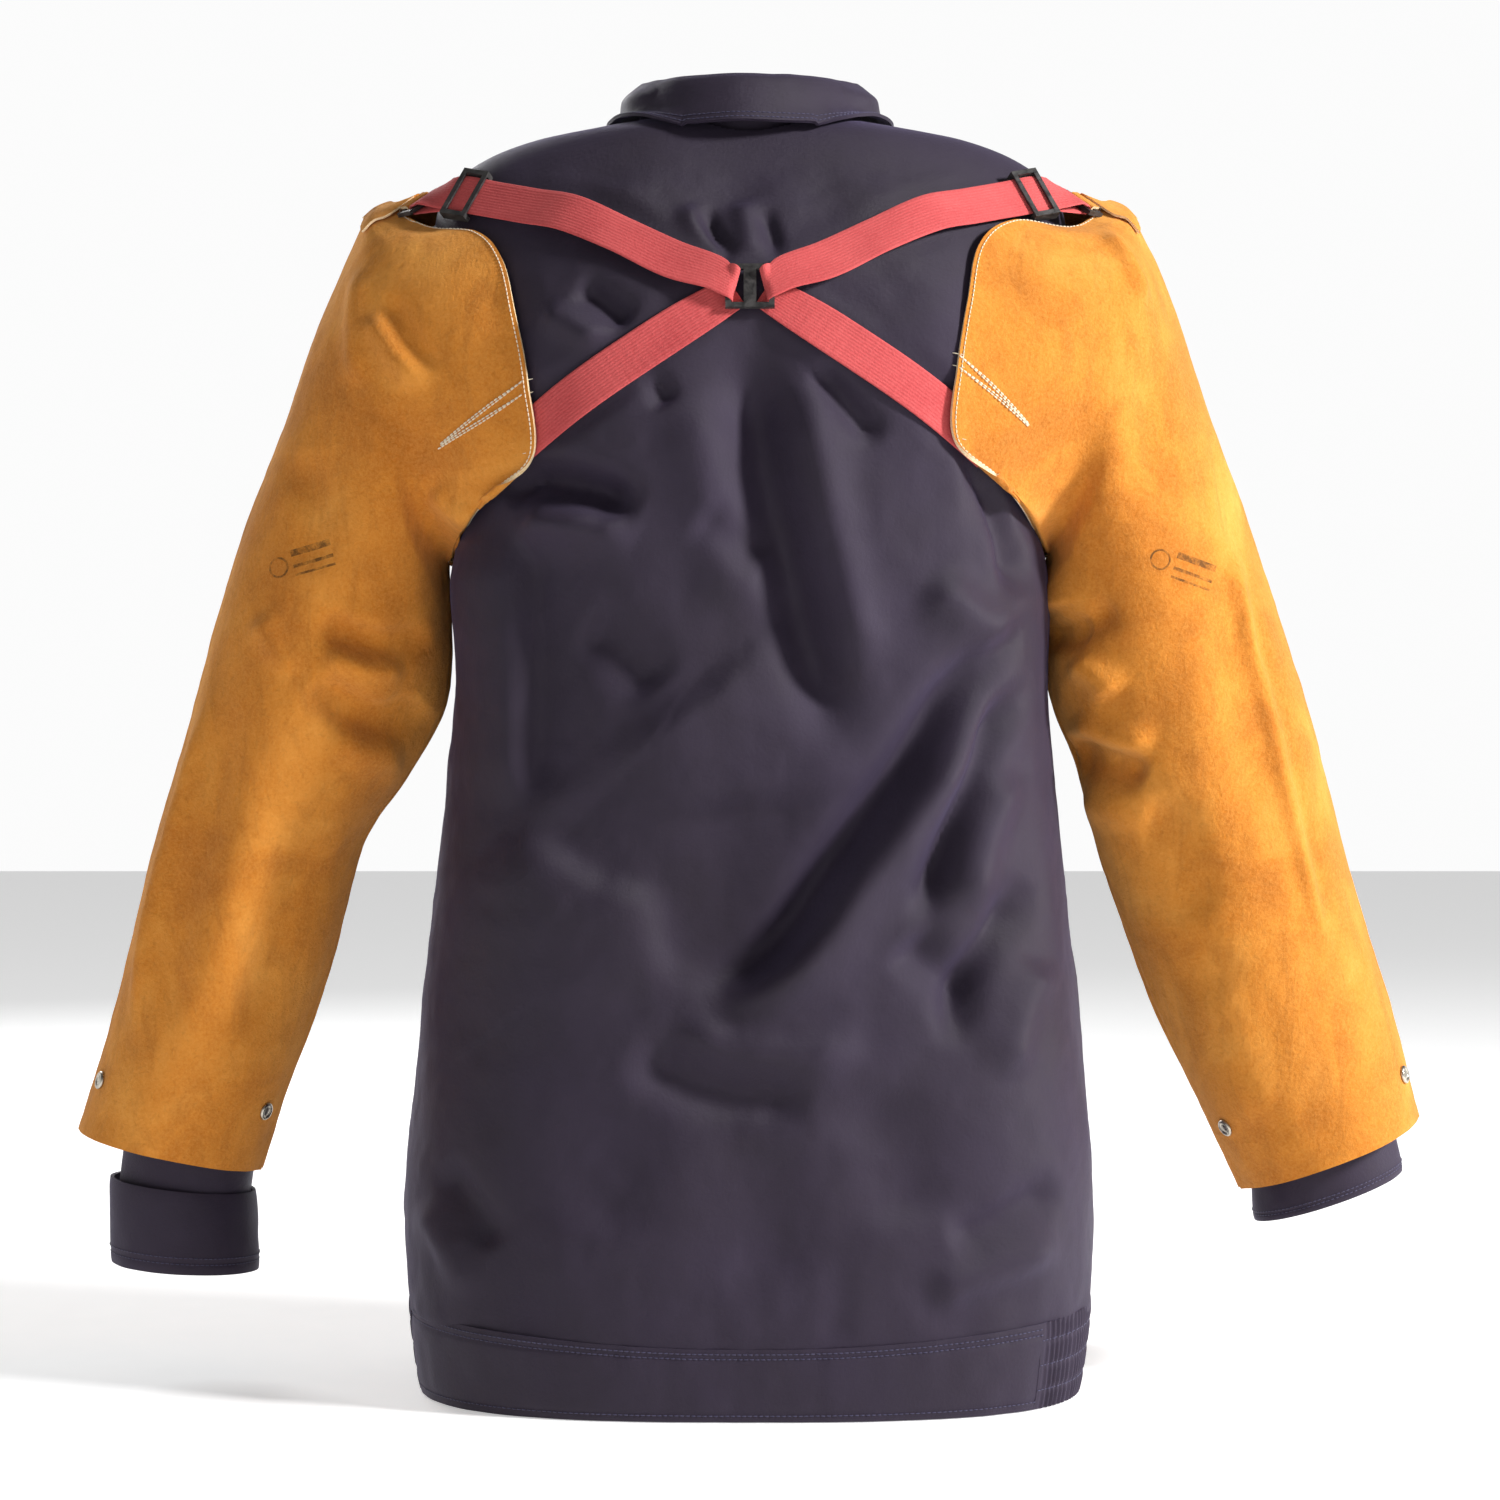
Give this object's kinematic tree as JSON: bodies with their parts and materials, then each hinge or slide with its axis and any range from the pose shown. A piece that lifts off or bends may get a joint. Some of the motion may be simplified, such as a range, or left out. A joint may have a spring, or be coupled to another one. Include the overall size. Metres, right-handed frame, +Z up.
{
  "type": "leather welding jacket",
  "caption": "Long-bodied cotton work jacket with split-leather sleeves strapped over its arms by a crossed elastic back harness, with a zipped front and turn-down collar.",
  "frame": {"origin": "centre of the hem on the ground plane, under the middle of the whole jacket", "axes": "+X towards the wearer's left, +Y towards the wearer's back, +Z up from hem to collar"},
  "size_m": [0.816, 0.2905, 0.7847],
  "materials": {
    "drill": "matt navy cotton drill",
    "leather": "golden tan split leather with a napped face",
    "webbing": "red woven elastic",
    "black_plastic": "moulded black acetal",
    "nickel": "nickel plate",
    "zip_tape": "woven zip tape"
  },
  "bodies": {
    "jacket": {"back_panel": "drill", "left_front_panel": "drill", "right_front_panel": "drill", "collar_stand": "drill", "collar_fall": "drill", "hanger_loop": "drill", "hem_band_back": "drill", "hem_band_front_left": "drill", "hem_band_front_right": "drill", "hem_elastic_left": "drill", "hem_elastic_right": "drill", "left_jacket_sleeve_back": "drill", "left_jacket_sleeve_front": "drill", "right_jacket_sleeve_back": "drill", "right_jacket_sleeve_front": "drill", "left_jacket_cuff": "drill", "right_jacket_cuff": "drill", "left_chest_pocket": "drill", "right_chest_pocket": "drill", "left_leather_sleeve_back": "leather", "left_leather_sleeve_front": "leather", "right_leather_sleeve_back": "leather", "right_leather_sleeve_front": "leather", "left_ring_tab": "leather", "right_ring_tab": "leather", "left_strap_lower": "webbing", "right_strap_lower": "webbing", "left_strap_upper": "webbing", "right_strap_upper": "webbing", "left_cap_ring": "black_plastic", "right_cap_ring": "black_plastic", "harness_joiner": "black_plastic", "zip_teeth_closed": "nickel", "left_zip_teeth_open": "nickel", "right_zip_teeth_open": "nickel", "zip_bottom_stop": "nickel", "left_outer_snap_cap": "nickel", "left_outer_snap_socket": "nickel", "left_inner_snap_cap": "nickel", "left_inner_snap_socket": "nickel", "right_outer_snap_cap": "nickel", "right_outer_snap_socket": "nickel", "right_inner_snap_cap": "nickel", "right_inner_snap_socket": "nickel", "left_zip_tape": "zip_tape", "right_zip_tape": "zip_tape"},
    "zip_slider": {"zip_slider": "nickel"},
    "zip_pull": {"zip_pull_tab": "nickel"},
    "left_adjuster": {"left_strap_adjuster": "black_plastic"},
    "right_adjuster": {"right_strap_adjuster": "black_plastic"},
    "left_flap": {"left_pocket_flap": "drill", "left_flap_snap": "nickel"},
    "right_flap": {"right_pocket_flap": "drill", "right_flap_snap": "nickel"}
  },
  "joints": [
    {"name": "zip_travel", "type": "slide", "parent": "jacket", "child": "zip_slider", "axis": [0, -0.0312, -0.9995], "range_m": [0, 0.53]},
    {"name": "pull_swing", "type": "hinge", "parent": "zip_slider", "child": "zip_pull", "pos_m": [0, -0.13, 0.5884], "axis": [-1, 0, 0], "range_deg": [0, 160]},
    {"name": "left_strap_adjust", "type": "slide", "parent": "jacket", "child": "left_adjuster", "axis": [-0.8312, 0.5122, -0.2163], "range_m": [0, 0.045]},
    {"name": "right_strap_adjust", "type": "slide", "parent": "jacket", "child": "right_adjuster", "axis": [0.8312, 0.5122, -0.2163], "range_m": [0, 0.045]},
    {"name": "left_flap_lift", "type": "hinge", "parent": "jacket", "child": "left_flap", "pos_m": [0.0804, -0.1264, 0.5924], "axis": [-0.9833, -0.182, 0], "range_deg": [0, 110]},
    {"name": "right_flap_lift", "type": "hinge", "parent": "jacket", "child": "right_flap", "pos_m": [-0.0804, -0.1264, 0.5924], "axis": [-0.9833, 0.182, 0], "range_deg": [0, 110]}
  ]
}
